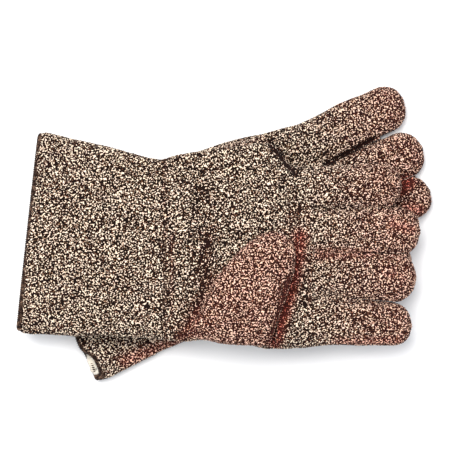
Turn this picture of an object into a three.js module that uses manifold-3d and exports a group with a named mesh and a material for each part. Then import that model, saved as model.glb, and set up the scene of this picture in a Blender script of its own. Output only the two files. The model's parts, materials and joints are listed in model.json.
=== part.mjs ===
// A pair of cryogenic gauntlet gloves in loop-pile cloth, lying palms up with the right glove on the left.
//
// Units are millimetres. +X runs from the cuffs to the fingertips of the right glove, +Z is up, and the
// gloves lie on z = 0. The origin is the middle of the pair's footprint.
//
// Each glove is drawn in a frame of its own: x from the wrist to the fingertips, y across the hand with the
// thumb's side positive, z up from the underside of the hand. A stall is a flat closed pocket: a terry shell
// in a palm half and a back half, and a lining inside it.

import * as THREE from 'three';
import * as BufferGeometryUtils from 'three/addons/utils/BufferGeometryUtils.js';
import Module from 'manifold-3d';

const wasm = await Module();
wasm.setup();

// ---------------------------------------------------------------- driving dimensions

const TERRY = 4.0; // outer loop-pile cloth
const LINING = 2.2; // insulating lining
const GAP = 0.3; // clearance between pieces that touch
const CAVITY_INSET = TERRY + GAP + LINING; // from the outside to the space for the hand

const WRIST_HALF = 76;
const MOUTH_HALF = 86.6; // half the flat width of the gauntlet's mouth
const GAUNTLET_LENGTH = 113.4;
const HAND_LENGTH = 119;
const SEAM_WIDTH = 3; // taped seam between gauntlet and hand
const BINDING_WIDTH = 3; // overlocked binding round the mouth

const SIDE_FLAT = 2; // height of the straight part of a stall's rounded side
const SIDE_STEPS = 2; // facets in a quarter of that rounding
const TIP_STEPS = 6; // facets round a fingertip
const OVERRUN = 14; // how far an open stall is drawn past its open end before it is trimmed
const BIG = 600; // larger than either glove
const THUMB_LIFT = 0.4; // clearance between the palm and the thumb that is folded over it

const THUMB_HOLE = { from: 13, to: 40, half: 15 }; // way from the palm into the thumb, along the thumb

// Sizes and lie of each glove. side is -1 where the thumb's side faces -Y. turn, lean, droop are degrees.
const RIGHT = {
  name: 'right',
  side: -1,
  at: [-48.4, -13.4, 40.9],
  turn: 0,
  thick: { hand: 24, gauntlet: 30, digit: 26, thumb: 22 },
  gauntletTurn: 7.5,
  droop: 7,
  littleEdge: [[0, -76], [43, -89], [76, -94.8], [100, -85], [119, -74.5]],
  thumbEdge: [[0, 76], [45, 79], [82, 84], [119, 83.5]],
  digits: {
    index: { y: 63.5, width: 40, length: 92.8, lean: 1 },
    middle: { y: 22.5, width: 36.5, length: 95.4, lean: -1 },
    ring: { y: -16.5, width: 38, length: 98.9, lean: 0 },
    little: { y: -56, width: 37, length: 82.3, lean: -1.6 },
  },
  thumb: { x: 53, y: 82, length: 104, tipHalf: 25, baseHalf: 36, lean: 22 },
};
const LEFT = {
  name: 'left',
  side: 1,
  at: [-25, -7.3, 0],
  turn: 15.2,
  thick: { hand: 21, gauntlet: 22, digit: 22, thumb: 18.5 },
  gauntletTurn: 2.8,
  droop: 0,
  littleEdge: [[0, -76], [43, -86], [76, -90], [100, -83], [119, -75]],
  thumbEdge: [[0, 76], [45, 75], [82, 74.3], [119, 74.9]],
  digits: {
    index: { y: 55, width: 38, length: 89.2, lean: 10.9 },
    middle: { y: 16, width: 36.5, length: 93.4, lean: 6.3 },
    ring: { y: -21.5, width: 35.5, length: 90.6, lean: 7 },
    little: { y: -58, width: 33.5, length: 60, lean: -4 },
  },
  thumb: { x: 50, y: 73, length: 94, tipHalf: 23, baseHalf: 34, lean: 12 },
};

// ---------------------------------------------------------------- materials

const terryCloth = () => new THREE.MeshStandardMaterial({ color: 0x8b7a6c, roughness: 1, metalness: 0 });
const liningCloth = () => new THREE.MeshStandardMaterial({ color: 0xd9cfbe, roughness: 1, metalness: 0 });
const bindingThread = () => new THREE.MeshStandardMaterial({ color: 0x2c1915, roughness: 0.9, metalness: 0 });

// ---------------------------------------------------------------- solids

const radians = (degrees) => THREE.MathUtils.degToRad(degrees);

/** A closed three.js geometry as a manifold solid. */
function solidOf(geometry) {
  const bare = geometry.clone();
  bare.deleteAttribute('normal');
  bare.deleteAttribute('uv');
  const merged = BufferGeometryUtils.mergeVertices(bare, 1e-4);
  return new wasm.Manifold(new wasm.Mesh({
    numProp: 3,
    vertProperties: new Float32Array(merged.attributes.position.array),
    triVerts: new Uint32Array(merged.index.array),
  }));
}

/** A manifold solid as a three.js geometry. */
function geometryOf(solid) {
  const { vertProperties, triVerts } = solid.getMesh();
  const geometry = new THREE.BufferGeometry();
  geometry.setAttribute('position', new THREE.BufferAttribute(new Float32Array(vertProperties), 3));
  geometry.setIndex(new THREE.BufferAttribute(new Uint32Array(triVerts), 1));
  geometry.computeVertexNormals();
  return geometry;
}

/** A box between two corners. */
function block(low, high) {
  const size = high.map((v, i) => v - low[i]);
  const geometry = new THREE.BoxGeometry(...size);
  geometry.translate(...low.map((v, i) => v + size[i] / 2));
  return solidOf(geometry);
}

/** A straight-sided prism on an outline. */
function prism(outline, low, high) {
  const geometry = new THREE.ExtrudeGeometry(new THREE.Shape(outline), { depth: high - low, bevelEnabled: false });
  geometry.translate(0, 0, low);
  return solidOf(geometry);
}

/** A flat pad on an outline with rounded sides, its surface set in by inset from one that is thick high. */
function pad(outline, thick, inset) {
  const round = (thick - SIDE_FLAT) / 2 - inset;
  const geometry = new THREE.ExtrudeGeometry(new THREE.Shape(outline), {
    depth: SIDE_FLAT,
    bevelThickness: round,
    bevelSize: round,
    bevelOffset: -round,
    bevelSegments: SIDE_STEPS,
  });
  geometry.translate(0, 0, inset + round);
  return solidOf(geometry);
}

/** The three layers of a stall: palm half, back half and lining. keep is the space that the stall stays in. */
function layersOf(outline, thick, keep) {
  const padAt = (inset) => pad(outline(inset), thick, inset);
  const shell = padAt(0).subtract(padAt(TERRY)).intersect(keep);
  const middle = thick / 2;
  return {
    palm: shell.intersect(block([-BIG, -BIG, middle + GAP / 2], [BIG, BIG, BIG])),
    back: shell.intersect(block([-BIG, -BIG, -BIG], [BIG, BIG, middle - GAP / 2])),
    lining: padAt(TERRY + GAP).subtract(padAt(CAVITY_INSET)).intersect(keep),
  };
}

/** A band round an open end, as deep as the whole wall. */
function ringOf(outline, thick, keep) {
  return pad(outline(0), thick, 0).subtract(pad(outline(CAVITY_INSET), thick, CAVITY_INSET)).intersect(keep);
}

// ---------------------------------------------------------------- outlines

/** The outline of a finger from its base at x = 0, straight sided with a round tip, turned by its lean. */
function fingerOutline({ width, length, lean }, side, inset) {
  const half = width / 2 - inset;
  const tip = length - width / 2;
  const turn = radians(lean * side);
  const points = [new THREE.Vector2(-OVERRUN, -half)];
  for (let i = 0; i <= TIP_STEPS; i++) {
    const angle = Math.PI * (i / TIP_STEPS - 0.5);
    points.push(new THREE.Vector2(tip + half * Math.cos(angle), half * Math.sin(angle)));
  }
  points.push(new THREE.Vector2(-OVERRUN, half));
  return points.map((point) => point.rotateAround(new THREE.Vector2(), turn));
}

/**
 * The outline of the thumb, pointing across the palm from a base along the edge of the hand to a round tip.
 * The base lies along the hand's edge whatever the lean, so it is drawn slanting in the thumb's own frame.
 */
function thumbOutline({ x, y, length, tipHalf, baseHalf, lean }, side, inset) {
  const tip = length - tipHalf;
  const half = tipHalf - inset;
  const base = baseHalf - inset;
  const slant = Math.tan(radians(lean));
  const basePoint = (across) => new THREE.Vector2(inset + across * slant, across);
  const points = [basePoint(-base)];
  for (let i = 0; i <= TIP_STEPS; i++) {
    const angle = Math.PI * (i / TIP_STEPS - 0.5);
    points.push(new THREE.Vector2(tip + half * Math.cos(angle), half * Math.sin(angle)));
  }
  points.push(basePoint(base));
  return points.map((point) => alongThumb(point, { x, y, lean }, side));
}

/** A point of the thumb's own frame, x along the thumb, in the frame of its glove. */
function alongThumb(point, { x, y, lean }, side) {
  const angle = radians(lean);
  const along = new THREE.Vector2(Math.sin(angle), -Math.cos(angle));
  const across = new THREE.Vector2(Math.cos(angle), Math.sin(angle));
  const place = new THREE.Vector2(x, y).addScaledVector(along, point.x).addScaledVector(across, point.y);
  return new THREE.Vector2(place.x, place.y * side);
}

/** The outline of the hand, its two edges smooth curves, drawn past both open ends. */
function handOutline({ littleEdge, thumbEdge, side }, inset) {
  const edge = (points, inwards) => {
    const curve = new THREE.SplineCurve(points.map(([x, y]) => new THREE.Vector2(x, (y + inwards) * side)));
    const stretch = curve.getPoints(2 * (points.length - 1));
    const first = stretch[0];
    const last = stretch[stretch.length - 1];
    return [
      new THREE.Vector2(first.x - OVERRUN, first.y),
      ...stretch,
      new THREE.Vector2(last.x + OVERRUN, last.y),
    ];
  };
  return [...edge(littleEdge, inset), ...edge(thumbEdge, -inset).reverse()];
}

/** The outline of the gauntlet between two distances from the wrist, measured along its own axis. */
function gauntletOutline({ gauntletTurn, side }, inset, near, far) {
  const angle = radians(gauntletTurn);
  const axis = new THREE.Vector2(-Math.cos(angle), -Math.sin(angle));
  const across = new THREE.Vector2(-Math.sin(angle), Math.cos(angle));
  const mouth = SEAM_WIDTH + GAP + GAUNTLET_LENGTH;
  const corner = (sign, distance) => {
    const wrist = new THREE.Vector2(0, sign * (WRIST_HALF - inset));
    const end = axis.clone().multiplyScalar(mouth).addScaledVector(across, sign * (MOUTH_HALF - inset));
    const point = wrist.lerp(end, distance / mouth);
    return new THREE.Vector2(point.x, point.y * side);
  };
  return [corner(-1, near), corner(-1, far), corner(1, far), corner(1, near)];
}

// ---------------------------------------------------------------- sub-parts

function mesh(name, solid, material) {
  const made = new THREE.Mesh(geometryOf(solid), material);
  made.name = name;
  return made;
}

/** The meshes of a stall's three layers. */
function stall(name, layers, halves = ['palm', 'back']) {
  const group = new THREE.Group();
  group.add(
    mesh(`${name}_${halves[0]}`, layers.palm, terryCloth()),
    mesh(`${name}_${halves[1]}`, layers.back, terryCloth()),
    mesh(`${name}_lining`, layers.lining, liningCloth()),
  );
  return group;
}

/** The way through the palm into the thumb. */
function thumbHole(glove) {
  const { from, to, half } = THUMB_HOLE;
  const corners = [[from, -half], [to, -half], [to, half], [from, half]];
  const outline = corners.map(([x, y]) => alongThumb(new THREE.Vector2(x, y), glove.thumb, glove.side));
  const depth = CAVITY_INSET + 1;
  return prism(outline, glove.thick.hand - depth, glove.thick.hand + THUMB_LIFT + depth);
}

function handGroup(glove) {
  const outline = (inset) => handOutline(glove, inset);
  const thick = glove.thick.hand;
  const layers = layersOf(outline, thick, block([0, -BIG, -BIG], [HAND_LENGTH, BIG, BIG]));
  const hole = thumbHole(glove);
  layers.palm = layers.palm.subtract(hole);
  layers.lining = layers.lining.subtract(hole);
  const group = stall(`${glove.name}_hand`, layers);
  const seam = ringOf(outline, thick, block([-SEAM_WIDTH, -BIG, -BIG], [-GAP, BIG, BIG]));
  group.add(mesh(`${glove.name}_wrist_seam_tape`, seam, terryCloth()));
  return group;
}

function fingerGroup(glove, name) {
  const finger = glove.digits[name];
  const outline = (inset) => fingerOutline(finger, glove.side, inset);
  const layers = layersOf(outline, glove.thick.digit, block([0, -BIG, -BIG], [BIG, BIG, BIG]));
  const group = stall(`${glove.name}_${name}`, layers, ['front', 'back']);
  group.position.set(HAND_LENGTH + GAP, finger.y * glove.side, 0);
  group.rotation.y = radians(glove.droop);
  return group;
}

function thumbGroup(glove) {
  const outline = (inset) => thumbOutline(glove.thumb, glove.side, inset);
  const layers = layersOf(outline, glove.thick.thumb, block([-BIG, -BIG, -BIG], [BIG, BIG, BIG]));
  const rise = glove.thick.hand + THUMB_LIFT;
  const hole = thumbHole(glove).translate([0, 0, -rise]);
  layers.back = layers.back.subtract(hole);
  layers.lining = layers.lining.subtract(hole);
  const group = stall(`${glove.name}_thumb`, layers, ['front', 'back']);
  group.position.z = rise;
  return group;
}

/** The gauntlet hangs from the lower edge of the wrist seam, so its drawing starts at that edge. */
function gauntletGroup(glove) {
  const mouth = SEAM_WIDTH + GAP + GAUNTLET_LENGTH;
  const outline = (inset) => gauntletOutline(glove, inset, -OVERRUN, mouth + OVERRUN);
  const thick = glove.thick.gauntlet;
  const wrist = -SEAM_WIDTH - GAP;
  const beforeWrist = block([-BIG, -BIG, -BIG], [wrist, BIG, BIG]);
  const stretch = (near, far) => prism(gauntletOutline(glove, -BIG / 10, near, far), -BIG, BIG);
  const layers = layersOf(outline, thick, stretch(-OVERRUN, mouth).intersect(beforeWrist));
  const group = stall(`${glove.name}_gauntlet`, layers);
  const binding = ringOf(outline, thick, stretch(mouth + GAP, mouth + GAP + BINDING_WIDTH));
  group.add(mesh(`${glove.name}_mouth_binding`, binding, bindingThread()));
  group.position.x = wrist;
  group.rotation.y = -radians(glove.droop);
  for (const child of group.children) child.geometry.translate(-wrist, 0, 0);
  return group;
}

function gloveGroup(glove) {
  const group = new THREE.Group();
  group.add(handGroup(glove), gauntletGroup(glove), thumbGroup(glove));
  for (const name of Object.keys(glove.digits)) group.add(fingerGroup(glove, name));
  group.position.set(...glove.at);
  group.rotation.z = radians(glove.turn);
  return group;
}

const pair = new THREE.Group();
pair.add(gloveGroup(LEFT), gloveGroup(RIGHT));

export default pair;
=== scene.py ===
"""A pair of long cryogenic gloves in loop-pile cloth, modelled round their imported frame.

Each glove is grown from soft lofted forms, fused, smoothed, creased, covered in pile and cut into its stalls.
Lengths are metres. A glove's own space has x from the wrist to the fingertips, y towards its thumb's side and
z up from the underside of the hand.
"""

import json
import math

import bpy
import numpy as np
from bpy.props import FloatProperty, FloatVectorProperty, PointerProperty
from mathutils import Matrix, Vector, noise


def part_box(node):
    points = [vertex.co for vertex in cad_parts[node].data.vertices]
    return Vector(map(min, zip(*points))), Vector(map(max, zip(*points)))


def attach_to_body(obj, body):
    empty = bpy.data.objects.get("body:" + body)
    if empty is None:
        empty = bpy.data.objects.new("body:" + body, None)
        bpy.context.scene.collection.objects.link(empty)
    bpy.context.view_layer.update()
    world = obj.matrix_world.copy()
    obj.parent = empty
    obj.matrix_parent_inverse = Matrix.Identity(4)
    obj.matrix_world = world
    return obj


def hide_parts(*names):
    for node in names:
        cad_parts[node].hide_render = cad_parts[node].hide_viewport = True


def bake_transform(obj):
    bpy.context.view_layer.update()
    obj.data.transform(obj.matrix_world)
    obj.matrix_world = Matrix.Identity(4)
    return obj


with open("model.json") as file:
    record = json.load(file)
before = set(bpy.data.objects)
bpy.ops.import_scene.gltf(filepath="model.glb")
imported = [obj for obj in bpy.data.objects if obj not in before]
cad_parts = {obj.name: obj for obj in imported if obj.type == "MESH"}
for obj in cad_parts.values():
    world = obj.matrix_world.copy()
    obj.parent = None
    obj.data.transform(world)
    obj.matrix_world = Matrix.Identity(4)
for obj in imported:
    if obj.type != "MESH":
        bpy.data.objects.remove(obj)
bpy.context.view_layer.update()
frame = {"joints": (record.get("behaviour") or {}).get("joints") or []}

bl_info = {
    "name": "Cryogenic Gloves",
    "version": (1, 0, 0),
    "blender": (4, 5, 0),
    "location": "View3D > Sidebar > Gloves",
    "description": "Builds a pair of lined loop-pile gauntlet gloves round their frame",
    "category": "Add Mesh",
}

# ---------------------------------------------------------------- driving sizes

MM = 0.001
GRAIN = 0.78 * MM  # edge length of the finished cloth mesh
COARSE_GRAIN = 2.5 * MM  # edge length of the meshes nobody sees up close
CROTCH = 114 * MM  # where the stalls are cut from the hand
WRIST_CUT = -1.6 * MM
WRIST_AXIS = -3.15 * MM  # where the gauntlet's hinge stands behind the wrist
ROOT_HALF_WIDTH = 7 * MM  # of the cloth at the thumb's base
THUMB_SLOPE = 0.11  # slant of the thumb's base against the hand's length
FAR = 300 * MM  # beyond either glove
FLOOR_GAP = 0.2 * MM
BEND_LENGTH = 20 * MM  # length past a joint, to the far end of a stretch that attach works out but does not use
TIP_REACH = 100 * MM  # from the roots of the fingers to where the lines between stalls are measured
PAST_TIPS = 1.3  # the grounds that stalls are cut over run on past there by this share
STALL_GAP = 0.35 * MM  # left free on each side of a line between stalls
THUMB_REST = 0.5 * MM  # room between the hand and its folded thumb
LEAST_HALF = {"finger": 0.4 * MM, "thumb": 0.5 * MM}  # a tip's last station is no thinner
SQUARE = {"hand": 2.7, "gauntlet": 2.9, "finger": 2.25, "thumb": 2.3, "root": 2.1}  # 2 is an ellipse
OVERRUN = 0.12  # share by which a hollow runs on through the mouth
MOUTH_STARTS = 0.94  # share of the gauntlet's length where its corners begin to round off
FINGERS = ("index", "middle", "ring", "little")

# Outlines are (along, across) points in mm, a thumb's contours (across, along). Fingers are width at the
# root, width near the tip, length, lean in degrees and shift across. Turns and droop are in degrees.
SHAPES = {
    "right": {
        "thick": {"hand": 24, "gauntlet": 29, "digit": 26, "thumb": 21.5},
        "gauntlet_turn": 7.5,
        "mouth_slant": 6.3,
        "mouth_corner": 3,
        "gauntlet_length": 121,
        "droop": 7,
        "little_edge": [
            (-12, -75.5), (9, -81.5), (43, -87.5), (64, -89.5), (80, -92.5), (90, -91.5),
            (97, -83), (104, -74.5), (111, -68), (130, -68),
        ],
        "thumb_edge": [
            (-12, 76.4), (15, 78.2), (32, 77.6), (46, 80), (71, 81.6), (84, 85), (112, 83.6), (130, 83),
        ],
        "fingers": {
            "index": (47, 36, 93.5, 3.6, -3.6),
            "middle": (39, 44, 97.5, 1.3, -1.5),
            "ring": (38, 41, 102, 0.5, 0),
            "little": (36.5, 38, 84.5, -1.6, 2.5),
        },
        "thumb_left": [
            (83, 17), (72, 21), (59, 27), (47, 32), (33, 39), (16.5, 48.7), (2.6, 60), (-10, 72),
        ],
        "thumb_right": [
            (83, 89), (72, 92.2), (59, 96), (47, 100), (33, 105), (16.5, 109.5), (2.6, 110), (-10, 108),
        ],
        "thumb_tip": -16.5,
        "root_sunk": 6.5,
        # painted reddish shade over the thumb
        "thumb_blush": 0.3,
    },
    "left": {
        "thick": {"hand": 21, "gauntlet": 21.5, "digit": 22, "thumb": 18},
        "gauntlet_turn": 2.8,
        "mouth_slant": 2.8,
        "mouth_corner": 0.5,
        "gauntlet_length": 120.5,
        "droop": 0,
        "little_edge": [(-12, -75.5), (9, -80), (43, -86), (76, -90), (98, -82), (113, -74), (130, -74)],
        "thumb_edge": [(-12, 76), (15, 77), (45, 77.5), (82, 77.8), (112, 77), (130, 77)],
        "fingers": {
            "index": (42, 41.5, 92.5, 10.4, 1.2),
            "middle": (38, 42, 97, 6.8, 0.5),
            "ring": (36, 37, 93.5, 7.3, 0),
            "little": (33.5, 35, 61, -4, 0),
        },
        "thumb_left": [(76, 17), (64, 21), (50, 27), (37, 32), (23, 37), (9, 42), (-4, 49), (-13, 57)],
        "thumb_right": [(76, 84), (64, 86), (50, 88), (37, 89), (23, 90), (9, 90), (-4, 88), (-13, 83)],
        "thumb_tip": -19.5,
        "root_sunk": 9,
        # painted reddish shade over the thumb
        "thumb_blush": 0.08,
    },
}

JOINTS = {joint["name"]: joint for joint in frame["joints"]}


# ---------------------------------------------------------------- a glove's own space


class Glove:
    """The shape of one glove and the place where the frame holds it."""

    def __init__(self, name):
        self.name = name
        self.shape = SHAPES[name]
        self.side = -1 if name == "right" else 1
        wrist = JOINTS[f"{name}_wrist_bend"]
        axis = wrist["axis"]
        self.turn = math.atan2(-axis[0], axis[1])
        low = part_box(f"{name}_hand_back")[0]
        spin = Matrix.Rotation(self.turn, 4, "Z")
        origin = Vector(wrist["pos_m"]) - spin @ Vector((WRIST_AXIS, 0, 0))
        origin.z = low.z
        self.place = Matrix.Translation(origin) @ spin @ Matrix.Diagonal((1, self.side, 1, 1))
        self.back = self.place.inverted()
        self.root_y = {
            finger: (self.back @ Vector(JOINTS[f"{name}_{finger}_curl"]["pos_m"])).y
            + self.shape["fingers"][finger][4] * MM
            for finger in FINGERS
        }

    def thick(self, part):
        """How thick a part of the glove is."""
        return self.shape["thick"][part] * MM

    def world(self, x, y, z):
        """Where a place in the glove's own space lies in the frame."""
        return self.place @ Vector((x, y, z))

    def edge(self, which, x):
        """Distance of the hand's edge from its middle at x, on a smooth curve."""
        return smooth_curve(self.shape[which], x / MM) * MM

    def angle(self, which):
        """One of the glove's angles in radians."""
        return math.radians(self.shape[which])


def sizes():
    """The sizes that the panel shows."""
    return bpy.context.scene.glove_sizes


def smooth_curve(points, at):
    """A curve through (x, y) points without overshoot, at one or many x."""
    x, y = (np.array(values, float) for values in zip(*points))
    slope = np.diff(y) / np.diff(x)
    before, after = slope[:-1], slope[1:]
    middle = np.where(before * after > 0, 2 * before * after / (before + after + 1e-12), 0)
    tangent = np.concatenate([[slope[0]], middle, [slope[-1]]])
    at = np.clip(np.asarray(at, float), x[0], x[-1])
    i = np.clip(np.searchsorted(x, at, side="right") - 1, 0, len(x) - 2)
    span = x[i + 1] - x[i]
    t = (at - x[i]) / span
    rise = (1 + 2 * t) * (1 - t) ** 2 * y[i] + t * t * (3 - 2 * t) * y[i + 1]
    return rise + span * (t * (1 - t) ** 2 * tangent[i] - t * t * (1 - t) * tangent[i + 1])


# ---------------------------------------------------------------- mesh helpers


def coordinates(mesh):
    """A mesh's points as an array of rows."""
    flat = np.empty(len(mesh.vertices) * 3, np.float32)
    mesh.vertices.foreach_get("co", flat)
    return flat.reshape(-1, 3).astype(float)


def set_coordinates(mesh, points):
    """Moves a mesh's points."""
    mesh.vertices.foreach_set("co", np.asarray(points, np.float32).ravel())
    mesh.update()


def normals(mesh):
    """The outward direction at each point of a mesh."""
    flat = np.empty(len(mesh.vertices) * 3, np.float32)
    mesh.vertex_normals.foreach_get("vector", flat)
    return flat.reshape(-1, 3).astype(float)


def band_faces(rings, around):
    """Faces between rings of points that follow each other."""
    faces = []
    for k in range(rings - 1):
        for i in range(around):
            j = (i + 1) % around
            a, b = k * around, (k + 1) * around
            faces.append((a + i, a + j, b + j, b + i))
    return faces


def end_faces(rings, around):
    """Faces that close the first and the last ring."""
    last = (rings - 1) * around
    return [tuple(range(around - 1, -1, -1)), tuple(range(last, last + around))]


def new_object(name, vertices, faces):
    """An object with a new mesh, in the scene."""
    mesh = bpy.data.meshes.new(name)
    mesh.from_pydata([tuple(v) for v in vertices], [], faces)
    mesh.update()
    made = bpy.data.objects.new(name, mesh)
    bpy.context.scene.collection.objects.link(made)
    return made


def apply_modifiers(obj):
    """Replaces an object's mesh by the result of its modifiers."""
    graph = bpy.context.evaluated_depsgraph_get()
    mesh = bpy.data.meshes.new_from_object(
        obj.evaluated_get(graph), preserve_all_data_layers=True, depsgraph=graph
    )
    old = obj.data
    obj.modifiers.clear()
    obj.data = mesh
    bpy.data.meshes.remove(old)


def discard(*objects):
    """Removes helper objects with their meshes."""
    for obj in objects:
        mesh = obj.data
        bpy.data.objects.remove(obj)
        bpy.data.meshes.remove(mesh)


def joined(name, parts):
    """One object with the meshes of several, which are used up."""
    vertices, faces = [], []
    for part in parts:
        start = len(vertices)
        vertices.extend(v.co.copy() for v in part.data.vertices)
        faces.extend([start + i for i in face.vertices] for face in part.data.polygons)
    discard(*parts)
    return new_object(name, vertices, faces)


def fused(name, parts, grain, smoothing):
    """The parts grown together into one closed skin of even quads."""
    skin = joined(name, parts)
    remesh = skin.modifiers.new("fuse", "REMESH")
    remesh.mode = "VOXEL"
    remesh.voxel_size = grain
    smooth = skin.modifiers.new("smooth", "SMOOTH")
    smooth.factor = 0.5
    smooth.iterations = smoothing
    apply_modifiers(skin)
    return skin


def combine(obj, other, operation):
    """Cuts or crops one closed mesh by another."""
    cut = obj.modifiers.new("cut", "BOOLEAN")
    cut.operation = operation
    cut.solver = "MANIFOLD"
    cut.object = other
    apply_modifiers(obj)
    if not obj.data.polygons:
        raise RuntimeError(f"{obj.name} is empty after {operation.lower()} with {other.name}")


def copied(obj, name):
    """A second object with its own copy of the mesh."""
    made = obj.copy()
    made.data = obj.data.copy()
    made.name = made.data.name = name
    bpy.context.scene.collection.objects.link(made)
    return made


def loft(glove, name, stations, around=72):
    """A closed form through oval stations, each a centre, half across, half up and squareness."""
    vertices = []
    turn = np.linspace(0, 2 * math.pi, around, endpoint=False)
    for centre, across, up, square in stations:
        cosine, sine = np.cos(turn), np.sin(turn)
        u = np.sign(cosine) * np.abs(cosine) ** (2 / square)
        v = np.sign(sine) * np.abs(sine) ** (2 / square)
        ring = np.array(centre) + np.outer(u, across) + np.outer(v, up)
        vertices.extend(glove.world(*point) for point in ring)
    faces = band_faces(len(stations), around) + end_faces(len(stations), around)
    if glove.side > 0:
        faces = [face[::-1] for face in faces]
    return new_object(name, vertices, faces)


def prism(glove, name, outline, low, high):
    """A straight prism on an outline in the glove's own space."""
    count = len(outline)
    vertices = [glove.world(x, y, z) for z in (low, high) for x, y in outline]
    faces = end_faces(2, count) + band_faces(2, count)
    if glove.side < 0:
        faces = [face[::-1] for face in faces]
    return new_object(name, vertices, faces)


# ---------------------------------------------------------------- forms of a glove


def hand_form(glove, inset):
    """The hand from behind the wrist to past the roots of its fingers."""
    half_up = glove.thick("hand") / 2 - inset
    stations = []
    for x in np.arange(-9, 128.5, 2.5) * MM:
        low, high = glove.edge("little_edge", x) + inset, glove.edge("thumb_edge", x) - inset
        centre = (x, (low + high) / 2, glove.thick("hand") / 2)
        stations.append((centre, (0, (high - low) / 2, 0), (0, 0, half_up), SQUARE["hand"]))
    return loft(glove, "hand", stations, 160)


def gauntlet_axis(glove):
    """The way along a gauntlet to its mouth, and across the mouth."""
    turn, slant, tilt = glove.angle("gauntlet_turn"), glove.angle("mouth_slant"), glove.angle("droop")
    along = np.array((-math.cos(turn) * math.cos(tilt), -math.sin(turn) * math.cos(tilt), -math.sin(tilt)))
    return along, np.array((-math.sin(slant), math.cos(slant), 0))


def gauntlet_form(glove, inset, overrun=0):
    """The gauntlet flares from the wrist to its mouth and droops from the wrist on."""
    turn, slant, tilt = glove.angle("gauntlet_turn"), glove.angle("mouth_slant"), glove.angle("droop")
    length = glove.shape["gauntlet_length"] * MM
    wrist, mouth = sizes().wrist_width / 2, sizes().mouth_width / 2
    stations = []
    mouth_shares = np.linspace(MOUTH_STARTS, 1 + overrun, 10)
    for share in np.concatenate([np.linspace(-0.09, MOUTH_STARTS - 0.01, 30), mouth_shares]):
        along = share * length
        flare = np.clip(share, 0, 1.2)
        rounding = np.clip((share - MOUTH_STARTS) / (1 - MOUTH_STARTS), 0, 1) ** 2
        corner = glove.shape["mouth_corner"] * MM * rounding
        half = wrist + flare * (mouth - wrist) - inset - corner
        thick = glove.thick("hand") + (glove.thick("gauntlet") - glove.thick("hand")) * min(1, flare * 2.2)
        level = thick / 2 - max(along, 0) * math.sin(tilt)
        centre = (-along * math.cos(turn), -along * math.sin(turn), level)
        sideways = (-half * math.sin(slant) * flare, half * math.cos(slant * flare), 0)
        stations.append((centre, sideways, (0, 0, thick / 2 - inset), SQUARE["gauntlet"]))
    stations.reverse()
    return loft(glove, "gauntlet", stations, 160)


def finger_axis(glove, finger):
    """The ways along, across and up from a finger."""
    lean = math.radians(glove.shape["fingers"][finger][3])
    tilt = glove.angle("droop")
    along = np.array((math.cos(lean) * math.cos(tilt), math.sin(lean) * math.cos(tilt), -math.sin(tilt)))
    across = np.array((-math.sin(lean), math.cos(lean), 0))
    return along, across, np.cross(along, across)


def finger_form(glove, finger, inset):
    """A finger from inside the hand to its round tip."""
    root, tip, length = (value * MM for value in glove.shape["fingers"][finger][:3])
    along, across, up = finger_axis(glove, finger)
    start = np.array((sizes().hand_length, glove.root_y[finger], glove.thick("digit") / 2))
    half_up = glove.thick("digit") / 2
    tip_start = length - tip * 0.5
    stations = []
    straight = tip_start / length
    rounding = 1 - (1 - straight) * np.cos(np.linspace(0, math.pi / 2, 12))[1:]
    for share in np.concatenate([np.linspace(-0.28, straight, 16), rounding]):
        s = share * length
        half = (root + (tip - root) * np.clip(share * 1.5, 0, 1)) / 2
        past = np.clip((s - tip_start) / (length - tip_start), 0, 0.999)
        round_off = math.sqrt(1 - past**2.2)
        wide = max(half * round_off - inset, LEAST_HALF["finger"])
        swell = 0.92 + 0.08 * np.clip(share, 0, 1)
        high = max(half_up * swell * round_off**0.85 - inset, LEAST_HALF["finger"])
        reach = s if s < length - inset else length - inset
        stations.append((start + along * reach, across * wide, up * high, SQUARE["finger"]))
    return loft(glove, finger, stations, 72)


def thumb_form(glove, inset):
    """The thumb lies folded over the palm. Its stations are strips from its left to its right contour."""
    left, right = glove.shape["thumb_left"], glove.shape["thumb_right"]
    rest = glove.thick("hand") + THUMB_REST
    thick = glove.thick("thumb")
    base, tip = left[0][0] * MM, glove.shape["thumb_tip"] * MM
    base_half = (right[0][1] - left[0][1]) / 2 * MM
    tip_start = left[-2][0] * MM
    stations = []
    for share in np.concatenate([np.linspace(0, 0.8, 22), np.linspace(0.8, 1, 10)[1:]]):
        y = base + (tip - base) * share
        x_low = smooth_curve(left[::-1], y / MM) * MM
        x_high = smooth_curve(right[::-1], y / MM) * MM
        past = np.clip((tip_start - y) / (tip_start - tip), 0, 0.998)
        round_off = math.sqrt(1 - past**2.4)
        swell = smooth_curve([(0, 0.45), (0.12, 0.8), (0.35, 1), (0.8, 1), (1, 0.96)], share)
        wide = max((x_high - x_low) / 2 * round_off - inset, LEAST_HALF["thumb"])
        high = max(thick / 2 * swell * max(round_off, 0.25) - inset, LEAST_HALF["thumb"])
        level = rest + thick / 2 * swell
        slope = THUMB_SLOPE * (1 - share) ** 2
        centre = ((x_low + x_high) / 2, y - slope * base_half, level)
        stations.append((centre, (wide, slope * wide, 0), (0, 0, high), SQUARE["thumb"]))
    return loft(glove, "thumb", stations, 96)


def thumb_root(glove):
    """The cloth that carries the thumb's base round the edge of the hand."""
    left, right = glove.shape["thumb_left"][0], glove.shape["thumb_right"][0]
    level = glove.thick("hand") * 0.78
    stations = []
    for share in np.linspace(0, 1, 25):
        x = (left[1] + (right[1] - left[1]) * (0.04 + 0.92 * share)) * MM
        swell = math.sqrt(1 - (2 * share - 1) ** 4 * 0.96)
        y = glove.edge("thumb_edge", x) - glove.shape["root_sunk"] * MM
        across, up = (0, ROOT_HALF_WIDTH * swell, 0), (0, 0, level * 0.62 * swell)
        stations.append(((x, y, level), across, up, SQUARE["root"]))
    return loft(glove, "root", stations, 48)


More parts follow.
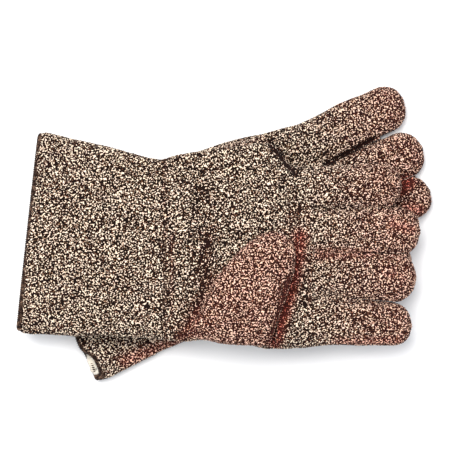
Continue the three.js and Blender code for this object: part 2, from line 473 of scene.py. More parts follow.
def whole_form(glove, inset, grain, smoothing, overrun=0):
    """Hand, gauntlet and fingers as one skin, which lies inside the outer one by the inset."""
    parts = [hand_form(glove, inset), gauntlet_form(glove, inset, overrun)]
    parts += [finger_form(glove, finger, inset) for finger in FINGERS]
    return fused("glove", parts, grain, smoothing)


# ---------------------------------------------------------------- cloth surface

# Creases on the palm's side of a glove: from, to, depth and half width in mm, then painted shade and painted
# reddish shade. They paint shade in folds, between fingers and beside the thumb, the shadows cast by the
# upper glove's edge and by a fingertip, and reddish shade on the fingers; rows with no depth are only
# painted.
PALM_CREASES = {
    "right": [
        ((32, -52), (33, 35), 2.4, 13, 0.12, 0.0),
        ((37, -12), (28, 52), 0.6, 6, 0.28, 0.1),
        ((28, 52), (11, 78), 0.6, 5, 0.3, 0.45),
        ((20, 50), (25, 49), 2.6, 9, 0.1, 0.1),
        ((4, -12), (4.5, 56), 1.2, 2.2, 0.1, 0.15),
        ((121, -38), (123, 46), 0.9, 2.2, 0.12, 0.15),
        ((-40, -70), (-30, 20), 0.8, 10, 0.0, 0.0),
        ((100, -14), (114, -34), 1.0, 7, 0.1, 0.1),
        ((88, -94), (111, -66), 2.0, 2.2, 1.0, 0.1),
        ((115, -12), (112, 8), 0.6, 7, 0.2, 0.75),
        ((112, 8), (105, 40), 1.2, 6.5, 0.3, 0.85),
        ((105, 40), (93, 80), 1.2, 5.5, 0.3, 0.85),
        ((20, 70), (44, 30), 0.4, 11, 0.1, 0.3),
        ((150, 84), (200, 80), 0.0, 10, 0.0, 0.5),
        ((190, 20), (204, 24), 0.0, 9, 0.0, 0.4),
        ((195, -22), (210, -18), 0.0, 9, 0.0, 0.5),
        ((130, 3), (180, 3), 0.0, 7, 0.0, 0.4),
    ],
    "left": [
        ((34, -50), (34, 30), 2.0, 13, 0.0, 0.0),
        ((3, -20), (4, 60), 1.4, 2.2, 0.3, 0.3),
        ((121, -40), (122, 40), 0.9, 2.2, 0.1, 0.15),
        ((-60, -60), (-50, 30), 0.9, 9, 0.0, 0.0),
        ((85.5, 68), (100, 34), 2.2, 2.2, 1.0, 0.15),
        ((122, 34), (176, 46.6), 1.4, 1.8, 1.0, 0.1),
        ((178, -4), (194, 2), 0.6, 8, 0.35, 1.0),
        ((186, -20), (198, -24), 0.0, 8, 0.0, 0.6),
        ((-20, -78), (-90, -84), 0.0, 7, 0.0, 0.45),
    ],
}
# Painted shade and painted reddish shade along the thumb's edges, in the same columns as the palm's creases.
THUMB_CREASES = {
    "right": [((105.5, 26), (90.5, 79), 0.6, 4, 0.5, 0.7), ((25, 56), (14, 79), 0.0, 8, 0.15, 0.5)],
    "left": [],
}
SEAM_DEPTH, SEAM_HALF = 0.6 * MM, 1.4 * MM
SEAM_TONE = 0.12  # painted shade and painted reddish shade in the seam's groove
HAND_WAVES = ((34 * MM, 1.6 * MM, 3.0), (13 * MM, 0.6 * MM, 8.0))  # size, amount and seed of unevenness
THUMB_WAVE = (26 * MM, 1.4 * MM, 5.0)
LOOP_LATTICE = 0.8 * MM  # spacing of the noise that raises the loops
BLUSH = 0.3  # painted reddish shade on the fingers
BLUSH_RISE = (100 * MM, 215 * MM)  # over which it comes in
SLIP = 6 * MM  # how far the palm's side of the left mouth has slipped back at its corner
FRAY = 3 * MM  # how far the lining stands out of the left mouth there
# How far the left mouth waves outwards, by the distance from its little finger's corner, both in mm.
MOUTH_WAVE = [(0, -3), (20, -1.2), (38, 2), (60, 2), (95, 0), (200, 0)]


def distance_to_segment(points, start, end):
    """How far points are from a line between two places in mm."""
    start, end = np.array(start, float) * MM, np.array(end, float) * MM
    way = end - start
    share = np.clip((points - start) @ way / (way @ way), 0, 1)
    return np.linalg.norm(points - start - share[:, None] * way, axis=1)


def local_points(glove, points):
    """World points in the glove's own space."""
    matrix = np.array(glove.back)
    return points @ matrix[:3, :3].T + matrix[:3, 3]


def store(mesh, name, values):
    """Keeps one value per point for the materials."""
    attribute = mesh.attributes.get(name) or mesh.attributes.new(name, "FLOAT", "POINT")
    attribute.data.foreach_set("value", np.asarray(values, np.float32))


def crease(glove, skin, creases, darkness, warmth):
    """Presses folds into the palm's side, and stores the painted shade and painted reddish shade that the
    cloth gets there.
    """
    points = coordinates(skin.data)
    outward = normals(skin.data)
    own = local_points(glove, points)
    facing = np.clip(outward[:, 2] * 1.6, 0, 1)
    for start, end, depth, half, dark, warm in creases:
        near = np.exp(-((distance_to_segment(own[:, :2], start, end) / (half * MM)) ** 2)) * facing
        points -= outward * (depth * MM * near)[:, None]
        darkness = np.maximum(darkness, near * dark)
        warmth = np.maximum(warmth, near * warm)
    store(skin.data, "darkness", darkness)
    store(skin.data, "warmth", warmth)
    set_coordinates(skin.data, points)


def ruffle(skin, size, amount, seed):
    """Slow unevenness of soft cloth."""
    points, outward = coordinates(skin.data), normals(skin.data)
    shift = Vector((seed, seed * 1.7, -seed))
    wave = np.array([noise.noise(Vector(p) / size + shift) for p in points])
    set_coordinates(skin.data, points + outward * (amount * wave)[:, None])


def shift_mouth(glove, points, fray=0):
    """Waves the left glove's mouth and draws its palm's side back at one corner, so that the lining shows."""
    if glove.name == "right":
        return points
    own = local_points(glove, points)
    way, sideways = gauntlet_axis(glove)
    along, across = own @ way, own @ sideways
    length = glove.shape["gauntlet_length"] * MM
    height = own[:, 2] / glove.thick("gauntlet") * 2 - 1
    corner = sizes().mouth_width / 2 + across
    at_corner = 1 - smooth_step(corner, 18 * MM, 32 * MM)
    near_mouth = smooth_step(along, length - 45 * MM, length)
    own[:, 0] -= smooth_curve(MOUTH_WAVE, corner / MM) * MM * near_mouth
    own[:, 0] += SLIP * near_mouth * at_corner * smooth_step(height, -0.15, 0.35)
    own[:, 0] -= fray * smooth_step(along, length - 12 * MM, length) * at_corner
    matrix = np.array(glove.place)
    return own @ matrix[:3, :3].T + matrix[:3, 3]


def on_floor(points):
    """Presses flat what would sink into the floor."""
    points = np.array(points)
    points[:, 2] = np.maximum(points[:, 2], FLOOR_GAP)
    return points


def smooth_step(value, low, high):
    """0 below low, 1 above high, smooth between."""
    t = np.clip((value - low) / (high - low), 0, 1)
    return t * t * (3 - 2 * t)


def soften(glove, skin, fray=0):
    """Gives a layer its unevenness, folds, seam and shifted mouth, with the painted shade and painted reddish
    shade of its folds and seam, the same for each but for the fray.
    """
    for size, amount, seed in HAND_WAVES:
        ruffle(skin, size, amount, seed)
    own = local_points(glove, coordinates(skin.data))
    seam = np.exp(-(((own[:, 0] - WRIST_CUT) / SEAM_HALF) ** 2))
    # Painted reddish shade comes in over the fingers; the seam's groove gets painted shade and painted
    # reddish shade.
    warmth = np.maximum(BLUSH * smooth_step(own[:, 0], *BLUSH_RISE), SEAM_TONE * seam)
    crease(glove, skin, PALM_CREASES[glove.name], SEAM_TONE * seam, warmth)
    points = coordinates(skin.data) - normals(skin.data) * (SEAM_DEPTH * seam)[:, None]
    set_coordinates(skin.data, on_floor(shift_mouth(glove, points, fray)))


def raise_loops(skin):
    """Covers a skin in loops: each vertex moves with a fine noise, which it keeps for its colour, so that the
    two-tone yarn also turns lighter on the raised loops and darker in the hollows, as painted highlight and
    painted shade.
    """
    points, outward = coordinates(skin.data), normals(skin.data)
    loop = np.array([noise.noise(Vector(p) / LOOP_LATTICE) for p in points])
    store(skin.data, "loop", loop)
    points += outward * (sizes().loop_height * np.clip(loop, -0.5, 0.6))[:, None]
    set_coordinates(skin.data, on_floor(points))


# ---------------------------------------------------------------- materials

FIBRE_SCALE = 740  # of the fine noise in the yarn, per metre
FIBRE_GAIN = 2.8
LOOP_SHARE = 0.4  # how much a loop's height counts towards its colour: painted highlight on the raised loops, painted shade in the hollows
MIDDLE_LEVEL = (0.12, 0.16)  # loop heights over which dark yarn turns middle
LIGHT_LEVEL = (0.25, 0.28)
DARKENING = 0.6  # how much painted shade lowers the loops' colour
DEEP_WARMTH = 0.16  # share of the painted reddish shade that reaches the yarn low between the loops
DYE_SCALE, DYE_SHARE = 260, 0.22  # of the slow change of hue from loop to loop
NAP_SCALE, PATCH_SCALE = 900, 120  # of the lining's brushed fibres and of its worn patches
LINING_SHADE = 0.55  # how bright the lining is between its fibres
FUZZ_SCALE, STRAND_SCALE = 1800, 420  # of the overlock thread


def math_node(nodes, links, operation, *values):
    """The outcome of a sum on sockets and numbers."""
    node = nodes.new("ShaderNodeMath")
    node.operation = operation
    for i, value in enumerate(values):
        if isinstance(value, bpy.types.NodeSocket):
            links.new(value, node.inputs[i])
        else:
            node.inputs[i].default_value = value
    return node.outputs[0]


def ramp_node(nodes, links, value, low, high):
    """0 below low, 1 above high, smooth between."""
    node = nodes.new("ShaderNodeMapRange")
    node.interpolation_type = "SMOOTHSTEP"
    links.new(value, node.inputs["Value"])
    node.inputs["From Min"].default_value = low
    node.inputs["From Max"].default_value = high
    return node.outputs["Result"]


def mix_colours(nodes, links, factor, first, second, blend="MIX"):
    """The outcome of mixing two colours."""
    node = nodes.new("ShaderNodeMix")
    node.data_type = "RGBA"
    node.blend_type = blend
    for socket, value in ((node.inputs[0], factor), (node.inputs[6], first), (node.inputs[7], second)):
        if isinstance(value, bpy.types.NodeSocket):
            links.new(value, socket)
        else:
            socket.default_value = value
    return node.outputs[2]


def noise_node(nodes, links, vector, scale, detail):
    """A noise texture on a vector."""
    node = nodes.new("ShaderNodeTexNoise")
    node.inputs["Scale"].default_value = scale
    node.inputs["Detail"].default_value = detail
    links.new(vector, node.inputs["Vector"])
    return node


def new_group(name, inputs, outputs):
    """An empty shader node group with named sockets, and its input and output nodes."""
    group = bpy.data.node_groups.new(name, "ShaderNodeTree")
    for label, kind, default in inputs:
        socket = group.interface.new_socket(label, in_out="INPUT", socket_type=kind)
        if default is not None:
            socket.default_value = default
    for label, kind in outputs:
        group.interface.new_socket(label, in_out="OUTPUT", socket_type=kind)
    return group, group.nodes.new("NodeGroupInput"), group.nodes.new("NodeGroupOutput")


def yarn_group():
    """Colour, roughness and height of two-tone yarn, by its loops and by the painted shade and painted
    reddish shade laid on the cloth.
    """
    group, given, result = new_group(
        "Heather Yarn",
        [
            ("Vector", "NodeSocketVector", None),
            ("Loop", "NodeSocketFloat", 0.0),
            ("Darkness", "NodeSocketFloat", 0.0),
            ("Warmth", "NodeSocketFloat", 0.0),
            ("Dark", "NodeSocketColor", (0.01, 0.005, 0.004, 1)),
            ("Middle", "NodeSocketColor", (0.25, 0.17, 0.12, 1)),
            ("Light", "NodeSocketColor", (0.9, 0.84, 0.74, 1)),
            ("Warm Yarn", "NodeSocketColor", (0.3, 0.04, 0.03, 1)),
            ("Warm Tint", "NodeSocketColor", (1.0, 0.3, 0.25, 1)),
        ],
        [("Color", "NodeSocketColor"), ("Roughness", "NodeSocketFloat"), ("Height", "NodeSocketFloat")],
    )
    nodes, links = group.nodes, group.links
    fibre = noise_node(nodes, links, given.outputs["Vector"], FIBRE_SCALE, 1).outputs["Fac"]
    wobble = math_node(nodes, links, "MULTIPLY_ADD", fibre, FIBRE_GAIN, -FIBRE_GAIN / 2)
    level = math_node(nodes, links, "MULTIPLY_ADD", given.outputs["Loop"], LOOP_SHARE, wobble)
    # Painted shade lowers the level, so that the yarn turns dark in the painted folds and shadows.
    level = math_node(nodes, links, "MULTIPLY_ADD", given.outputs["Darkness"], -DARKENING, level)
    middle = ramp_node(nodes, links, level, *MIDDLE_LEVEL)
    # Painted reddish shade reddens the yarn's sides and tops, and a little of the yarn low between the loops.
    warmth = given.outputs["Warmth"]
    deep = math_node(nodes, links, "MULTIPLY", warmth, DEEP_WARMTH)
    deep = mix_colours(nodes, links, deep, given.outputs["Dark"], given.outputs["Warm Yarn"])
    side = mix_colours(nodes, links, warmth, given.outputs["Middle"], given.outputs["Warm Yarn"])
    low = mix_colours(nodes, links, middle, deep, side)
    high = mix_colours(nodes, links, warmth, given.outputs["Light"], given.outputs["Warm Tint"], "MULTIPLY")
    colour = mix_colours(nodes, links, ramp_node(nodes, links, level, *LIGHT_LEVEL), low, high)
    dye = noise_node(nodes, links, given.outputs["Vector"], DYE_SCALE, 1).outputs["Color"]
    colour = mix_colours(nodes, links, DYE_SHARE, colour, dye, "SOFT_LIGHT")
    links.new(colour, result.inputs["Color"])
    links.new(math_node(nodes, links, "MULTIPLY_ADD", fibre, 0.12, 0.84), result.inputs["Roughness"])
    links.new(math_node(nodes, links, "ADD", level, fibre), result.inputs["Height"])
    return group


def new_material(name, sheen):
    """A dull cloth material and its parts."""
    material = bpy.data.materials.new(name)
    material.use_nodes = True
    shader = material.node_tree.nodes["Principled BSDF"]
    shader.inputs["Sheen Weight"].default_value = sheen
    shader.inputs["Specular IOR Level"].default_value = 0.1
    return material, material.node_tree.nodes, material.node_tree.links, shader


def object_vector(nodes):
    """Places on the object itself, so that the pattern moves with it."""
    return nodes.new("ShaderNodeTexCoord").outputs["Object"]


def attribute_value(nodes, name):
    """The value that a mesh keeps for its materials."""
    node = nodes.new("ShaderNodeAttribute")
    node.attribute_name = name
    return node.outputs["Fac"]


def add_bump(nodes, links, shader, height, distance):
    """Fine relief of a material."""
    bump = nodes.new("ShaderNodeBump")
    bump.inputs["Distance"].default_value = distance
    bump.inputs["Strength"].default_value = 1.0
    links.new(height, bump.inputs["Height"])
    links.new(bump.outputs["Normal"], shader.inputs["Normal"])


def terry_material(settings):
    """Loop-pile cloth of two-tone yarn."""
    material, nodes, links, shader = new_material("Loop-pile terry", 0.02)
    yarn = nodes.new("ShaderNodeGroup")
    yarn.node_tree = yarn_group()
    links.new(object_vector(nodes), yarn.inputs["Vector"])
    for label in ("Loop", "Darkness", "Warmth"):
        links.new(attribute_value(nodes, label.lower()), yarn.inputs[label])
    yarn.inputs["Dark"].default_value = (*settings.dark_yarn, 1)
    yarn.inputs["Middle"].default_value = (*settings.middle_yarn, 1)
    yarn.inputs["Light"].default_value = (*settings.light_yarn, 1)
    yarn.inputs["Warm Yarn"].default_value = (*settings.warm_yarn, 1)
    yarn.inputs["Warm Tint"].default_value = (*settings.warm_tint, 1)
    links.new(yarn.outputs["Color"], shader.inputs["Base Color"])
    links.new(yarn.outputs["Roughness"], shader.inputs["Roughness"])
    add_bump(nodes, links, shader, yarn.outputs["Height"], 0.0006)
    return material


def lining_material(settings):
    """Brushed off-white insulating cloth."""
    material, nodes, links, shader = new_material("Brushed lining", 0.3)
    vector = object_vector(nodes)
    nap = noise_node(nodes, links, vector, NAP_SCALE, 4).outputs["Fac"]
    patch = noise_node(nodes, links, vector, PATCH_SCALE, 2).outputs["Fac"]
    tone = math_node(nodes, links, "MULTIPLY_ADD", patch, 0.5, math_node(nodes, links, "MULTIPLY", nap, 0.6))
    shade = (*(part * LINING_SHADE for part in settings.lining_colour), 1)
    mask = ramp_node(nodes, links, tone, 0.3, 0.75)
    colour = mix_colours(nodes, links, mask, shade, (*settings.lining_colour, 1))
    links.new(colour, shader.inputs["Base Color"])
    links.new(math_node(nodes, links, "MULTIPLY_ADD", nap, 0.15, 0.8), shader.inputs["Roughness"])
    add_bump(nodes, links, shader, nap, 0.0008)
    return material


def thread_material(settings):
    """Twisted overlock thread."""
    material, nodes, links, shader = new_material("Overlock thread", 0.0)
    vector = object_vector(nodes)
    fuzz = noise_node(nodes, links, vector, FUZZ_SCALE, 3).outputs["Fac"]
    strand = noise_node(nodes, links, vector, STRAND_SCALE, 1).outputs["Fac"]
    mask = ramp_node(nodes, links, math_node(nodes, links, "ADD", fuzz, strand), 0.95, 1.3)
    colour = mix_colours(nodes, links, mask, (*settings.thread_colour, 1), (*settings.thread_fleck, 1))
    links.new(colour, shader.inputs["Base Color"])
    links.new(math_node(nodes, links, "MULTIPLY_ADD", fuzz, 0.2, 0.6), shader.inputs["Roughness"])
    add_bump(nodes, links, shader, fuzz, 0.0004)
    return material


def shared_material(name, maker):
    """The material of that name, made on first use."""
    found = bpy.data.materials.get(name)
    return found or maker(bpy.context.scene.glove_looks)


# ---------------------------------------------------------------- pieces

BINDING_RINGS, BINDING_AROUND = 900, 16  # rings round the mouth, and points of each
WRAP_RELIEF = 0.14  # how far the wrapped threads stand out, as a share of the edge's half width
STITCH_SUNK = 0.9 * MM  # how deep the wrist's stitches sit in the cloth
STITCH_THICKNESS = 0.8 * MM
STITCH_STEP = 0.83  # from stitch to stitch, as a share of a stitch's length
STITCH_SLANT = 0.35


def finish_piece(piece, replaced, material):
    """Gives a piece its material and smooth shading, and hides the frame's nodes that it replaces."""
    piece.data.materials.clear()
    piece.data.materials.append(material)
    piece.data.polygons.foreach_set("use_smooth", [True] * len(piece.data.polygons))
    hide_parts(*replaced)


def stall_border(glove, first, second):
    """The line between two fingers as y at the crotch and y at its far end, in the glove's own space."""
    ends = []
    for reach in (CROTCH - sizes().hand_length, TIP_REACH):
        y = []
        for finger, toward in ((first, -1), (second, 1)):
            root, tip = (value * MM for value in glove.shape["fingers"][finger][:2])
            width = root if reach < 0 else tip
            y.append(glove.root_y[finger] + finger_axis(glove, finger)[0][1] * reach + toward * width / 2)
        ends.append(sum(y) / 2)
    return ends


def region_outline(glove, part):
    """The ground that a part's cloth is cut out over, in the glove's own space."""
    if part == "gauntlet":
        return [(-FAR, -FAR), (WRIST_CUT, -FAR), (WRIST_CUT, FAR), (-FAR, FAR)]
    if part == "hand":
        return [(WRIST_CUT, -FAR), (CROTCH, -FAR), (CROTCH, FAR), (WRIST_CUT, FAR)]
    place = FINGERS.index(part)
    far_x = sizes().hand_length + TIP_REACH
    upper = stall_border(glove, FINGERS[place - 1], part) if place > 0 else (FAR, FAR)
    lower = stall_border(glove, part, FINGERS[place + 1]) if place < 3 else (-FAR, -FAR)
    reach = CROTCH + (far_x - CROTCH) * PAST_TIPS
    upper_end = upper[0] + (upper[1] - upper[0]) * PAST_TIPS - STALL_GAP
    lower_end = lower[0] + (lower[1] - lower[0]) * PAST_TIPS + STALL_GAP
    return [(CROTCH, lower[0]), (reach, lower_end), (reach, upper_end), (CROTCH, upper[0])]


def cut_out(glove, layer, part, name):
    """A copy of a layer cropped to one part's ground."""
    piece = copied(layer, name)
    region = prism(glove, "region", region_outline(glove, part), -FAR, FAR)
    combine(piece, region, "INTERSECT")
    discard(region)
    return piece


def attach(glove, piece, part):
    """Joins a hand's piece to the hand's body; any other piece only has its place baked into its mesh."""
    hand = f"{glove.name}_hand"
    if part == "hand":
        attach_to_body(piece, hand)
        return
    if part == "thumb":
        base = glove.shape["thumb_left"][0][0] * MM
        middle = 50 * MM
        start = glove.world(middle, base + 1 * MM, 0)
        end = glove.world(middle, base - 12 * MM, 0)
    elif part == "gauntlet":
        start = glove.world(WRIST_CUT, 0, 0)
        end = glove.world(WRIST_CUT - BEND_LENGTH, 0, 0)
    else:
        start = glove.world(CROTCH, 0, 0)
        end = glove.world(CROTCH + BEND_LENGTH, 0, 0)
    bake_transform(piece)


def shell_nodes(glove, part):
    """The frame's two halves of a part's outer cloth."""
    halves = ("palm", "back") if part in ("hand", "gauntlet") else ("front", "back")
    return [f"{glove.name}_{part}_{half}" for half in halves]


def make_terry(glove):
    """The outer cloth of the hand, gauntlet and fingers."""
    outer = whole_form(glove, 0, GRAIN, 14)
    soften(glove, outer)
    raise_loops(outer)
    inside = whole_form(glove, sizes().terry, COARSE_GRAIN, 2, OVERRUN)
    soften(glove, inside)
    combine(outer, inside, "DIFFERENCE")
    material = shared_material("Loop-pile terry", terry_material)
    for part in ("hand", "gauntlet", *FINGERS):
        piece = cut_out(glove, outer, part, f"{glove.name}_{part}_terry")
        finish_piece(piece, shell_nodes(glove, part), material)
        attach(glove, piece, part)
    discard(outer, inside)


def make_lining(glove):
    """The insulating lining of the hand, gauntlet and fingers."""
    skin = sizes().terry + sizes().clearance
    outside = whole_form(glove, skin, COARSE_GRAIN, 2)
    inside = whole_form(glove, skin + sizes().lining, COARSE_GRAIN, 2, OVERRUN)
    soften(glove, outside, FRAY)
    soften(glove, inside, FRAY)
    combine(outside, inside, "DIFFERENCE")
    material = shared_material("Brushed lining", lining_material)
    for part in ("hand", "gauntlet", *FINGERS):
        piece = cut_out(glove, outside, part, f"{glove.name}_{part}_inner")
        finish_piece(piece, [f"{glove.name}_{part}_lining"], material)
        attach(glove, piece, part)
    discard(outside, inside)


def hollow_thumb(glove, outer, inset, name):
    """Hollows a thumb's layer and names it."""
    inside = fused("hollow", [thumb_form(glove, inset)], COARSE_GRAIN, 1)
    combine(outer, inside, "DIFFERENCE")
    discard(inside)
    outer.name = outer.data.name = name


def make_thumb(glove):
    """The thumb, folded over the palm, and its lining."""
    skin = sizes().terry + sizes().clearance
    outer = fused("thumb", [thumb_form(glove, 0), thumb_root(glove)], GRAIN, 14)
    hand = hand_form(glove, -sizes().clearance)
    combine(outer, hand, "DIFFERENCE")
    discard(hand)
    ruffle(outer, *THUMB_WAVE)
    count = len(outer.data.vertices)
    # The thumb starts with an even painted reddish shade, which its folds deepen.
    blush = np.full(count, glove.shape["thumb_blush"])
    crease(glove, outer, THUMB_CREASES[glove.name], np.zeros(count), blush)
    raise_loops(outer)
    hollow_thumb(glove, outer, sizes().terry, f"{glove.name}_thumb_terry")
    terry = shared_material("Loop-pile terry", terry_material)
    finish_piece(outer, shell_nodes(glove, "thumb"), terry)
    attach(glove, outer, "thumb")
    lining = fused("lining", [thumb_form(glove, skin)], COARSE_GRAIN, 1)
    hollow_thumb(glove, lining, skin + sizes().lining, f"{glove.name}_thumb_inner")
    brushed = shared_material("Brushed lining", lining_material)
    finish_piece(lining, [f"{glove.name}_thumb_lining"], brushed)
    attach(glove, lining, "thumb")


def oval_ring(half_across, half_up, square):
    """A squarish oval as a closed row of fine points, and the way run at each."""
    turn = np.linspace(0, 2 * math.pi, 4000, endpoint=False)
    u = half_across * np.sign(np.cos(turn)) * np.abs(np.cos(turn)) ** (2 / square)
    v = half_up * np.sign(np.sin(turn)) * np.abs(np.sin(turn)) ** (2 / square)
    ring = np.stack([u, v], 1)
    step = np.linalg.norm(np.roll(ring, -1, 0) - ring, axis=1)
    return np.vstack([ring, ring[:1]]), np.concatenate([[0], np.cumsum(step)])


def oval_path(half_across, half_up, square, count):
    """Points round a squarish oval, evenly spaced, their outward directions and the way round."""
    closed, run = oval_ring(half_across, half_up, square)
    at = np.linspace(0, run[-1], count, endpoint=False)
    points = np.stack([np.interp(at, run, closed[:, 0]), np.interp(at, run, closed[:, 1])], 1)
    ahead = np.roll(points, -1, 0) - np.roll(points, 1, 0)
    ahead /= np.linalg.norm(ahead, axis=1)[:, None]
    return points, np.stack([ahead[:, 1], -ahead[:, 0]], 1), run[-1]


def make_binding(glove):
    """Overlocked edge round the mouth: threads wrapped side by side over the cloth's raw edge."""
    along, sideways = gauntlet_axis(glove)
    upward = np.array((0, 0, 1))
    thick = glove.thick("gauntlet")
    wall = sizes().terry + sizes().clearance + sizes().lining
    corner = glove.shape["mouth_corner"] * MM
    half_across = sizes().mouth_width / 2 - corner - wall / 2
    points, outward, run = oval_path(half_across, (thick - wall) / 2, SQUARE["gauntlet"], BINDING_RINGS)
    wraps = round(run / sizes().thread_pitch)
    reach_out = wall / 2 - 0.2 * MM
    reach_along = sizes().binding_width / 2
    centre = along * glove.shape["gauntlet_length"] * MM + upward * thick / 2
    vertices = []
    for k in range(BINDING_RINGS):
        out = sideways * outward[k, 0] + upward * outward[k, 1]
        middle = centre + sideways * points[k, 0] + upward * points[k, 1] + out * 0.7 * MM
        for i in range(BINDING_AROUND):
            turn = 2 * math.pi * i / BINDING_AROUND
            ridge = 1 + WRAP_RELIEF * math.sin(2 * math.pi * wraps * k / BINDING_RINGS + turn)
            reach = out * math.cos(turn) * reach_out + along * math.sin(turn) * reach_along
            vertices.append(glove.world(*(middle + reach * ridge)))
    vertices = on_floor(shift_mouth(glove, np.array(vertices)))
    faces = band_faces(BINDING_RINGS + 1, BINDING_AROUND)
    faces = [tuple(i % len(vertices) for i in face) for face in faces]
    if glove.side > 0:
        faces = [face[::-1] for face in faces]
    piece = new_object(f"{glove.name}_mouth_overlock", vertices, faces)
    thread = shared_material("Overlock thread", thread_material)
    finish_piece(piece, [f"{glove.name}_mouth_binding"], thread)
    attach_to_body(piece, f"{glove.name}_gauntlet")


def stitch_mesh(centre, along, out, length, thickness):
    """One raised stitch as a bent capsule: its ends dive into the cloth."""
    side = along.cross(out)
    rings, around = 7, 6
    vertices = []
    for k in range(rings):
        share = k / (rings - 1) * 2 - 1
        rise = math.cos(share * math.pi / 2) * thickness * 1.3 - thickness * 0.6
        radius = thickness * (0.35 + 0.3 * math.cos(share * math.pi / 2))
        middle = centre + along * (share * length / 2) + out * rise
        for i in range(around):
            turn = 2 * math.pi * i / around
            vertices.append(middle + side * (radius * math.cos(turn)) + out * (radius * math.sin(turn)))
    return vertices, band_faces(rings, around) + end_faces(rings, around)


def make_wrist_seam(glove):
    """The row of overlock stitches that joins the gauntlet to the hand."""
    low, high = glove.edge("little_edge", 0), glove.edge("thumb_edge", 0)
    level = glove.thick("hand") / 2
    length, half, square = sizes().stitch_length, (high - low) / 2, SQUARE["hand"]
    run = oval_ring(half, level, square)[1][-1]
    count = round(run / (length * STITCH_STEP))
    points, outward, _ = oval_path(half - STITCH_SUNK, level - STITCH_SUNK, square, count)
    vertices, faces = [], []
    rotate = glove.place.to_3x3()
    for point, out in zip(points, outward):
        centre = glove.world(WRIST_CUT, (low + high) / 2 + point[0], level + point[1])
        slant = rotate @ Vector((1, STITCH_SLANT * out[1], -STITCH_SLANT * out[0]))
        upward = rotate @ Vector((0, out[0], out[1]))
        made, sides = stitch_mesh(centre, slant.normalized(), upward, length, STITCH_THICKNESS)
        start = len(vertices)
        vertices.extend(made)
        faces.extend(tuple(start + i for i in face) for face in sides)
    piece = new_object(f"{glove.name}_wrist_stitches", on_floor(vertices), faces)
    thread = shared_material("Overlock thread", thread_material)
    finish_piece(piece, [f"{glove.name}_wrist_seam_tape"], thread)
    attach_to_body(piece, f"{glove.name}_hand")


# ---------------------------------------------------------------- operators


def length_property(label, description, default):
    """A length that the panel can change."""
    return FloatProperty(
        name=label, description=description, default=default, min=0, unit="LENGTH", precision=5
    )


def colour_property(label, description, default):
    """A colour that the panel can change."""
    return FloatVectorProperty(
        name=label, description=description, default=default, min=0, max=1, subtype="COLOR"
    )


class GloveSizes(bpy.types.PropertyGroup):
    """Sizes of the gloves' layers, seams and main widths"""

    terry: length_property("Terry", "Thickness of the loop-pile cloth", 4 * MM)
    clearance: length_property("Clearance", "Room between cloth and lining", 0.3 * MM)
    lining: length_property("Lining", "Thickness of the insulating lining", 2.2 * MM)
    loop_height: length_property("Loop height", "How far the loops stand out of the cloth", 0.9 * MM)
    wrist_width: length_property("Wrist width", "Width of the gauntlet at the wrist", 152 * MM)
    mouth_width: length_property("Mouth width", "Width of the gauntlet at its mouth", 177 * MM)
    hand_length: length_property("Hand length", "From the wrist to the roots of the fingers", 119 * MM)
    binding_width: length_property("Binding width", "Width of the overlocked edge", 4.6 * MM)
    thread_pitch: length_property("Thread pitch", "Distance between threads of the edge", 1.9 * MM)
    stitch_length: length_property("Stitch length", "Length of a stitch at the wrist", 3.6 * MM)


class GloveLooks(bpy.types.PropertyGroup):
    """Colours of the cloth, its painted reddish shade, the lining and the thread"""

    # The dark and light yarn are the heather's own two tones, and they also follow the loops' height: dark
    # low between the loops as painted shade, light on their tops as painted highlight.
    dark_yarn: colour_property("Dark yarn", "Colour low between the loops", (0.008, 0.003, 0.002))
    middle_yarn: colour_property("Middle yarn", "Colour on the sides of the loops", (0.26, 0.11, 0.055))
    light_yarn: colour_property("Light yarn", "Colour on the tops of the loops", (1.0, 0.84, 0.66))
    # Colours of the painted reddish shade, on the loops' sides and on their tops
    warm_yarn: colour_property("Warm yarn", "Colour of the reddened loops' sides", (0.36, 0.05, 0.035))
    warm_tint: colour_property("Warm tint", "Tint of the reddened loops' tops", (1.0, 0.3, 0.25))
    lining_colour: colour_property("Lining", "Colour of the lining", (0.84, 0.77, 0.66))
    thread_colour: colour_property("Thread", "Colour of the overlock thread", (0.01, 0.004, 0.003))
    thread_fleck: colour_property("Thread fleck", "Colour of the thread's worn fibres", (0.2, 0.12, 0.08))


def make_pair(maker):
    """Runs a maker for both gloves."""
    for name in SHAPES:
        maker(Glove(name))
    return {"FINISHED"}


class GLOVES_OT_terry(bpy.types.Operator):
    """Build the loop-pile cloth of the hands, gauntlets and fingers"""

    bl_idname = "gloves.terry"
    bl_label = "Terry Cloth"

    def execute(self, context):
        return make_pair(make_terry)


class GLOVES_OT_linings(bpy.types.Operator):
    """Build the linings of the hands, gauntlets and fingers"""

    bl_idname = "gloves.linings"
    bl_label = "Linings"

    def execute(self, context):
        return make_pair(make_lining)


class GLOVES_OT_thumbs(bpy.types.Operator):
    """Build the folded thumbs with their linings"""

    bl_idname = "gloves.thumbs"
    bl_label = "Thumbs"

    def execute(self, context):
        return make_pair(make_thumb)


class GLOVES_OT_bindings(bpy.types.Operator):
    """Build the overlocked edges round the mouths"""

    bl_idname = "gloves.bindings"
    bl_label = "Mouth Bindings"

    def execute(self, context):
        return make_pair(make_binding)


class GLOVES_OT_wrist_seams(bpy.types.Operator):
    """Build the rows of stitches round the wrists"""

    bl_idname = "gloves.wrist_seams"
    bl_label = "Wrist Seams"

    def execute(self, context):
        return make_pair(make_wrist_seam)


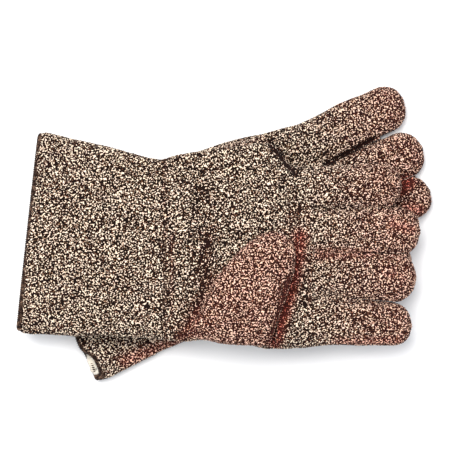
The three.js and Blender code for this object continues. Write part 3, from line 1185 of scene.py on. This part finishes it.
FLOOR_HALF = 6  # half the floor's width
FLOOR_TONES = ((0.9, 0.9, 0.91, 1), (0.93, 0.93, 0.94, 1))
KEY_PLACE = (-0.3, 0.5, 2.0)
KEY_SIZE = 1.1
KEY_ENERGY = 52
KEY_COLOUR = (1.0, 0.98, 0.95)
SKY_COLOUR = (0.93, 0.96, 1.0, 1)
SKY_STRENGTH = 0.85
LENS = 250
VIEW_WIDTH = 391.5 * MM  # what the camera takes in at its middle
VIEW_MIDDLE = (50.1 * MM, -21.7 * MM, -8 * MM)  # in the right glove's own space


def add_floor():
    """A pale floor far wider than the gloves."""
    corners = [(-FLOOR_HALF, -FLOOR_HALF, 0), (FLOOR_HALF, -FLOOR_HALF, 0)]
    corners += [(FLOOR_HALF, FLOOR_HALF, 0), (-FLOOR_HALF, FLOOR_HALF, 0)]
    floor = new_object("floor", corners, [(0, 1, 2, 3)])
    material, nodes, links, shader = new_material("Pale floor", 0)
    grain = noise_node(nodes, links, object_vector(nodes), 3, 2).outputs["Fac"]
    links.new(mix_colours(nodes, links, grain, *FLOOR_TONES), shader.inputs["Base Color"])
    shader.inputs["Roughness"].default_value = 0.9
    floor.data.materials.append(material)


def add_key_light():
    """One soft light from above, aimed at the gloves."""
    data = bpy.data.lights.new("key", "AREA")
    data.size = KEY_SIZE
    data.energy = KEY_ENERGY
    data.color = KEY_COLOUR
    lamp = bpy.data.objects.new("key", data)
    lamp.location = KEY_PLACE
    lamp.rotation_euler = (-Vector(KEY_PLACE)).to_track_quat("-Z", "Y").to_euler()
    bpy.context.scene.collection.objects.link(lamp)


def add_sky(scene):
    """Even light from all round."""
    world = bpy.data.worlds.new("studio")
    world.use_nodes = True
    backdrop = world.node_tree.nodes["Background"]
    backdrop.inputs["Color"].default_value = SKY_COLOUR
    backdrop.inputs["Strength"].default_value = SKY_STRENGTH
    scene.world = world
    scene.view_settings.view_transform = "Standard"


def add_camera(scene):
    """A long lens straight above the gloves."""
    data = bpy.data.cameras.new("camera")
    data.lens = LENS
    camera = bpy.data.objects.new("camera", data)
    height = VIEW_WIDTH * data.lens / data.sensor_width
    camera.location = Glove("right").world(*VIEW_MIDDLE) + Vector((0, 0, height))
    scene.collection.objects.link(camera)
    scene.camera = camera


class GLOVES_OT_stage(bpy.types.Operator):
    """Add the floor, the soft studio light and the camera"""

    bl_idname = "gloves.stage"
    bl_label = "Stage"

    def execute(self, context):
        add_floor()
        add_key_light()
        add_sky(context.scene)
        add_camera(context.scene)
        return {"FINISHED"}


class GLOVES_PT_panel(bpy.types.Panel):
    """Sidebar panel that lists the build steps"""

    bl_label = "Gloves"
    bl_idname = "GLOVES_PT_panel"
    bl_space_type = "VIEW_3D"
    bl_region_type = "UI"
    bl_category = "Gloves"

    def draw(self, context):
        for settings in (context.scene.glove_sizes, context.scene.glove_looks):
            for name in type(settings).__annotations__:
                self.layout.prop(settings, name)
        for operator in OPERATORS:
            self.layout.operator(operator.bl_idname)


OPERATORS = (
    GLOVES_OT_stage,
    GLOVES_OT_terry,
    GLOVES_OT_linings,
    GLOVES_OT_thumbs,
    GLOVES_OT_bindings,
    GLOVES_OT_wrist_seams,
)
CLASSES = (GloveSizes, GloveLooks, *OPERATORS, GLOVES_PT_panel)


def register():
    """Adds the classes and the panel's settings."""
    for item in CLASSES:
        bpy.utils.register_class(item)
    bpy.types.Scene.glove_sizes = PointerProperty(type=GloveSizes)
    bpy.types.Scene.glove_looks = PointerProperty(type=GloveLooks)


def unregister():
    """Takes them away again."""
    del bpy.types.Scene.glove_looks
    del bpy.types.Scene.glove_sizes
    for item in reversed(CLASSES):
        bpy.utils.unregister_class(item)


def main():
    """Registers the add-on, then builds the stage and both gloves."""
    register()
    bpy.ops.gloves.stage()
    bpy.ops.gloves.terry()
    bpy.ops.gloves.linings()
    bpy.ops.gloves.thumbs()
    bpy.ops.gloves.bindings()
    bpy.ops.gloves.wrist_seams()


if __name__ == "__main__":
    main()
